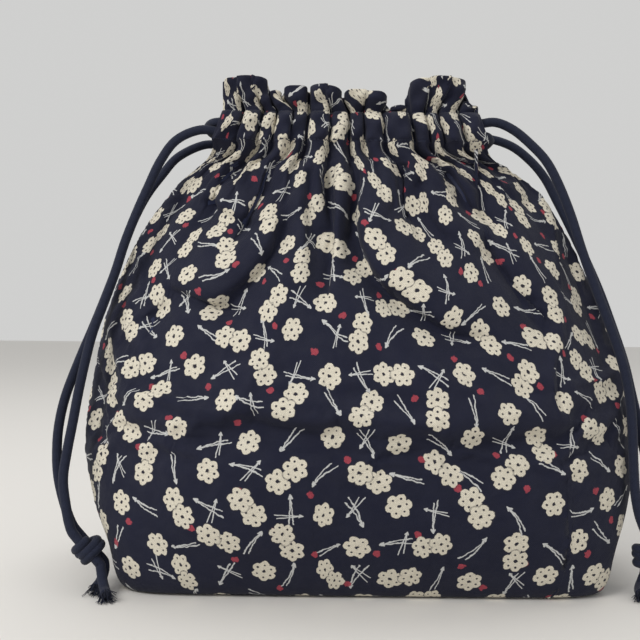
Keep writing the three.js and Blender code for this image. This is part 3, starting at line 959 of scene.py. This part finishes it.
    def crumple(self, share, z):
        """Small unevenness of the gathers at the casing and frill, nothing at the crease between them."""
        w = self.waves
        s, t = share * 133.0, (z - CASING_TOP) / MM
        size = 1.3 * MM * smooth(np.abs(t), 0, 5)
        rough = np.sin(s / 2.3 + t / 3.1 + w[5]) * np.sin(t / 3.7 - s / 9 + w[6])
        rough = rough + 0.6 * np.sin(s / 1.3 - t / 2.2 + w[7])
        return size * rough * smooth(np.minimum(share, 1 - share), 0, 0.03)

    def lobe_marks(self):
        """Place and depth of every valley at the frill's edge."""
        index = np.array([v[0] for v in self.lobes])
        place = np.array([v[1] for v in self.lobes]) * MM
        valley_x = np.interp(np.arange(PLEATS + 1), index, place)
        depth = np.isin(np.arange(PLEATS + 1), index).astype(float)
        return valley_x, depth

    def frill_top(self, x):
        """Height of the frill's edge above each place along the mouth."""
        top = np.zeros_like(x)
        for (_, x0, left, right), (_, x1, _, _) in zip(self.lobes, self.lobes[1:]):
            inside = (x >= x0 * MM - 1e-9) & (x <= x1 * MM + 1e-9)
            t = (x[inside] / MM - x0) / (x1 - x0)
            crown = 0.9 * np.sin(math.pi * np.clip(t, 0, 1))
            top[inside] = left + (right - left) * t + crown - 0.9 * (np.exp(-t * 14) + np.exp(-(1 - t) * 14))
        kernel = np.hanning(13)
        wide = np.pad(top, 6, mode="edge")
        return np.convolve(wide, kernel / kernel.sum(), mode="valid") * MM

    def mouth_row(self, share_up, zone):
        """Outer and inner rows of the casing (zone 0) or of the frill (zone 1), from its foot to its top."""
        count = PLEATS * FINE + 1
        share = np.linspace(0, 1, count)
        length = NECK_RIGHT - NECK_LEFT
        x = NECK_LEFT + length * share
        valley_x = NECK_LEFT + length * self.valley_at
        depth = 0.97 * self.valley_size
        ease, open_tunnel, bulge = 0.0, 0.0, 0.0
        z = np.full(count, CASING_BOTTOM + (CASING_TOP - CASING_BOTTOM) * share_up)
        if zone == 0:
            if 0 < share_up < 1:
                open_tunnel = math.sin(math.pi * share_up) ** 0.45
            bulge = open_tunnel if share_up > 0.5 else 0.86 + 0.14 * open_tunnel
        else:
            ease = float(smooth(share_up, 0.0, 0.75))
            lobe_x, lobe_depth = self.lobe_marks()
            valley_x = valley_x + (lobe_x - valley_x) * ease
            depth = depth + (lobe_depth * 0.97 - depth) * ease
            z = CASING_TOP + (self.frill_top(x) - CASING_TOP) * share_up
        reach = MOUTH_REACH + 6.0 * MM * ease
        at = (valley_x - NECK_LEFT) / length
        edge = depth.copy()
        edge[[0, -1]] *= 0.3
        drawn = self.pleat_lines(at, edge, np.full(PLEATS + 1, (2.3 + 0.3 * ease) * MM), length)
        ridge = CASING_Y + LAYER + CORD_ROOM * bulge + reach * (1 + bulge) / 2
        y = ridge + 1.6 * MM * ease * share_up - reach * drawn
        # A ridge spreads over its valleys, so that the valleys close to slits.
        local = np.clip(np.searchsorted(at, share, side="right") - 1, 0, PLEATS - 1)
        t = (share - at[local]) / np.maximum(at[local + 1] - at[local], 1e-6)
        squeeze = -np.sin(2 * math.pi * t) * (1.1 + 0.6 * ease) * MM * smooth(1 - drawn, 0.15, 0.6)
        squeeze *= smooth(np.minimum(share, 1 - share), 0, 0.03)
        if zone == 0:
            x = spread(x, share_up)
        outer = np.column_stack([x + squeeze, self.side * y + self.crumple(share, z), z])
        inner = outer.copy()
        inner[:, :2] -= self.outward(outer[:, :2]) * 2 * LAYER
        if open_tunnel > 0:
            roomy = outer.copy()
            roomy[:, 1] = self.side * (CASING_Y - LAYER - CORD_ROOM - 0.45 * reach * (1 - drawn))
            inner = inner * (1 - open_tunnel) + roomy * open_tunnel
        return outer, inner, at

    def outer_rows(self):
        """Every row of the outer cloth, up the body, casing and frill, over the edge and down inside, and
        the numbers of the rows that are stitched."""
        rows = [self.body_row(z, inset) for z, inset in FOOT]
        rows += [self.body_row(z) for z in np.arange(0.003, 0.210, 0.0021)]
        rows += [self.body_row(z) for z in np.arange(0.2112, CASING_BOTTOM - 0.0005, 0.0013)]
        tunnel = np.concatenate([[0], 0.5 - 0.5 * np.cos(np.linspace(0.09, 0.91, 11) * math.pi), [1]])
        casing_rows = [self.mouth_row(t, 0) for t in tunnel]
        frill_rows = [self.mouth_row(t, 1) for t in np.linspace(0.06, 1, 14)]
        stitched = [len(rows), len(rows) + len(casing_rows) - 1]
        rows += [(outer, at) for outer, _, at in casing_rows + frill_rows]
        outer, inner, at = frill_rows[-1]
        for t in (0.25, 0.5, 0.75):
            over = outer * (1 - t) + inner * t
            over[:, 2] += LAYER * math.sin(math.pi * t)
            rows.append((over, at))
        rows += [(inner, at) for _, inner, at in reversed(frill_rows)]
        stitched += [len(rows), len(rows) + len(casing_rows) - 1]
        rows += [(inner, at) for _, inner, at in reversed(casing_rows)]
        return rows, stitched

    def lining_rows(self):
        """The lining's rows, down from the casing to the base, none of them stitched."""
        near_casing = np.arange(0.212, CASING_BOTTOM - 0.0005, 0.0026)
        levels = np.concatenate([[0.0048], np.arange(0.008, 0.210, 0.0042), near_casing])
        return [self.body_row(z, LINING_INSET) for z in levels[::-1]], []


FRONT = Panel("front", -1, 5, FRONT_VALLEY_ENDS, FRONT_LOBES, FRONT_FOLDS)
BACK = Panel("back", 1, 12, BACK_VALLEY_ENDS, BACK_LOBES, BACK_FOLDS)


def cloth_grid(panel, rows):
    """Grid points and flat coordinates of a panel's rows; a column keeps its place across the cloth."""
    cut = [panel.columns(line, at) for line, at in rows]
    points = np.array([c[0] for c in cut])
    along = np.array([c[1] for c in cut])
    level = points[..., 2].mean(axis=1)
    across = along[(level > 0.05) & (level < 0.11)].mean(axis=0)
    steps = np.linalg.norm(np.diff(points, axis=0), axis=2)
    steps = np.minimum(steps, np.median(steps, axis=1, keepdims=True) * 2.6)
    kernel = np.hanning(9)
    kernel /= kernel.sum()
    steps = np.array([np.convolve(np.pad(s, 4, mode="edge"), kernel, mode="valid") for s in steps])
    up = np.vstack([np.zeros(points.shape[1]), np.cumsum(steps, axis=0)])
    return points, np.stack(np.broadcast_arrays(across[None, :], up), axis=-1)


def mouth_share(points):
    """How far, from 0 to 1, each point of cloth follows the opening mouth."""
    up = smooth(points[:, 2], MOUTH_TRAVEL_FROM, CASING_BOTTOM)
    return up * smooth(points[:, 0], *LEFT_END) * smooth(-points[:, 0], -RIGHT_END[1], -RIGHT_END[0])


def follow_mouth(piece):
    """Bakes the piece's placement into its mesh; how far each point would follow the opening mouth is worked
    out but not used.
    """
    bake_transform(piece)
    share = mouth_share(get_points(piece.data)).astype(np.float32)


def relax(piece, count, across):
    """A short cloth simulation: the sewn sheet, a little too large for its shape, buckles and settles."""
    start = get_points(piece.data)
    row = np.repeat(np.arange(count), across)
    column = np.tile(np.arange(across), count)
    outside = row < count * 0.62
    edge = np.minimum(column, across - 1 - column)
    hold = 1 - smooth(start[:, 2], 0.010, 0.085) * smooth(-start[:, 2], -CASING_BOTTOM, -0.212)
    hold = np.maximum(hold, 1 - smooth(edge, 1, 10))
    hold = np.where(outside, hold, 1.0)
    group = piece.vertex_groups.new(name="hold")
    for level in range(21):
        near = np.where(np.round(hold * 20) == level)[0]
        if len(near):
            group.add(near.tolist(), level / 20, "REPLACE")
    modifier = piece.modifiers.new("cloth", "CLOTH")
    modifier.settings.effector_weights.gravity = 0.12
    for setting, value in CLOTH_SETTINGS.items():
        setattr(modifier.settings, setting, value)
    modifier.point_cache.frame_start = 1
    modifier.point_cache.frame_end = SETTLE_FRAMES
    scene = bpy.context.scene
    for frame_number in range(1, SETTLE_FRAMES + 1):
        scene.frame_set(frame_number)
    settled = bpy.data.meshes.new_from_object(piece.evaluated_get(bpy.context.evaluated_depsgraph_get()))
    move = get_points(settled) - start
    bpy.data.meshes.remove(settled)
    piece.modifiers.clear()
    piece.vertex_groups.clear()
    scene.frame_set(1)
    size = np.linalg.norm(move, axis=1)[:, None]
    move *= np.minimum(1, SETTLE_LIMIT / np.maximum(size, 1e-9))
    piece.data.vertices.foreach_set("co", (start + move).astype(np.float32).ravel())
    piece.data.update()
    body = np.median(start.reshape(count, across, 3)[..., 2], axis=1)
    body_rows = np.arange(len(FOOT), int(np.argmax(body > CASING_BOTTOM)))
    return body[body_rows], move.reshape(count, across, 3)[body_rows]


def follow_settled(points, settled):
    """Moves the rows of the lining as the settled outer cloth moved at the same heights."""
    levels, move = settled
    for row in points:
        at = float(np.interp(np.median(row[:, 2]), levels, np.arange(len(levels))))
        low = min(int(at), len(levels) - 2)
        row += move[low] * (low + 1 - at) + move[low + 1] * (at - low)


def thicken(piece, thickness):
    """Gives a sheet its thickness, on its inner side, as part of its mesh."""
    modifier = piece.modifiers.new("thickness", "SOLIDIFY")
    modifier.thickness = thickness
    modifier.offset = -1
    bpy.context.view_layer.update()
    shape = bpy.data.meshes.new_from_object(piece.evaluated_get(bpy.context.evaluated_depsgraph_get()))
    piece.modifiers.clear()
    piece.data = shape
    piece.data.shade_smooth()


def add_sheet(name, panel, rows, stitched, material, slot, thickness, flip, settled=None):
    points, flat = cloth_grid(panel, rows)
    if settled is not None:
        follow_settled(points, settled)
    count, across = points.shape[:2]
    faces = grid_faces(count, across)
    if (panel.side > 0) != flip:
        faces = faces[:, ::-1]
    place = flat.copy()
    if panel.side > 0:
        place[..., 0] = 0.9 - place[..., 0]
        place[..., 1] += 0.013
    piece = add_mesh(name, points.reshape(-1, 3), faces.tolist(), material, place.reshape(-1, 2))
    from_stitch = np.full((count, across), 9.0)
    for row in stitched:
        from_stitch = np.minimum(from_stitch, np.abs(flat[..., 1] - flat[row, :, 1]) / MM)
    store_numbers(piece.data, "from_stitch", from_stitch)
    if stitched:
        settled = relax(piece, count, across)
    thicken(piece, thickness)
    return piece, (float(np.ptp(flat[0, :, 0])), float(np.median(np.ptp(flat[..., 1], axis=0)))), settled


def add_base(name, node, inset, bottom, thickness, material, slot):
    """A flat layer of the base."""
    _, middle, half_width, half_depth, power = OUTLINE[0]
    t = np.sin(np.linspace(-1, 1, 33) * math.pi / 2) * 0.998
    s = np.sin(np.linspace(-1, 1, 61) * math.pi / 2)
    reach = (half_width - inset) * (1 - np.abs(t) ** power) ** (1 / power)
    x = middle + reach[:, None] * s[None, :]
    y = np.broadcast_to(((half_depth - inset) * t)[:, None], x.shape)
    points = np.stack([x, y, np.full_like(x, bottom)], axis=-1).reshape(-1, 3)
    faces = grid_faces(len(t), len(s))[:, ::-1]
    piece = add_mesh(name, points, faces.tolist(), material, points[:, :2] + 0.4)
    thicken(piece, thickness)
    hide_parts(node)
    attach(piece, "bag")
    return piece


def add_bag(print_look, lining_look, wadding_look):
    outer = ("outer_base_panel", 2.2 * MM, 0.1 * MM, 1.0 * MM, print_look, "printed_cotton")
    inner = ("lining_base_panel", 3.6 * MM, 3.7 * MM, 0.7 * MM, lining_look, "lining_cotton")
    base = add_base("bag_base", *outer)
    add_base("lining_base", *inner)
    for panel in (FRONT, BACK):
        face = panel.name
        looks = (print_look, "printed_cotton", CLOTH)
        outer, flat, settled = add_sheet(f"bag_{face}", panel, *panel.outer_rows(), *looks, False)
        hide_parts(f"outer_{face}_panel", f"neck_{face}", f"casing_{face}", f"frill_{face}")
        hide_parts(f"casing_end_left_{face}", f"casing_end_right_{face}")
        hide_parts(f"frill_end_left_{face}", f"frill_end_right_{face}")
        if face == "front":
            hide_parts("neck_side_left", "neck_side_right")
        follow_mouth(outer)
        looks = (lining_look, "lining_cotton", LINING)
        lining, flat, _ = add_sheet(f"lining_{face}", panel, *panel.lining_rows(), *looks, True, settled)
        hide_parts(f"lining_{face}_panel")
        follow_mouth(lining)
    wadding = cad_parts["base_interlining"].data
    wadding.materials.clear()
    wadding.materials.append(wadding_look)


def add_casing_cords(material):
    """The cords' runs inside the casings, and their loops across the far slits."""
    for cord, z in (("left_cord", LEFT_RUN_Z), ("right_cord", RIGHT_RUN_Z)):
        for panel in (FRONT, BACK):
            y = panel.side * CASING_Y
            line = spline([(x, y, z) for x in np.linspace(*RUN_ENDS, 12)], CORD_STEP)
            run = add_cord_mesh(f"{cord}_{panel.name}_casing_run", [tube_mesh(line, CORD_RADIUS)], material)
            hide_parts(f"{cord}_{panel.name}_run")
            follow_mouth(run)
    for cord, slit, outward, z in (
        ("left_cord", NECK_RIGHT, 1, LEFT_RUN_Z),
        ("right_cord", NECK_LEFT, -1, RIGHT_RUN_Z),
    ):
        line = spline(slit_loop(slit, outward, z), CORD_STEP)
        loop = add_cord_mesh(f"{cord}_far_loop", [tube_mesh(line, CORD_RADIUS)], material)
        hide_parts(f"{cord}_slit_loop")
        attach(loop, "bag")


add_casing_cords(cord_look)
add_bag(print_material(), lining_material(), wadding_material())
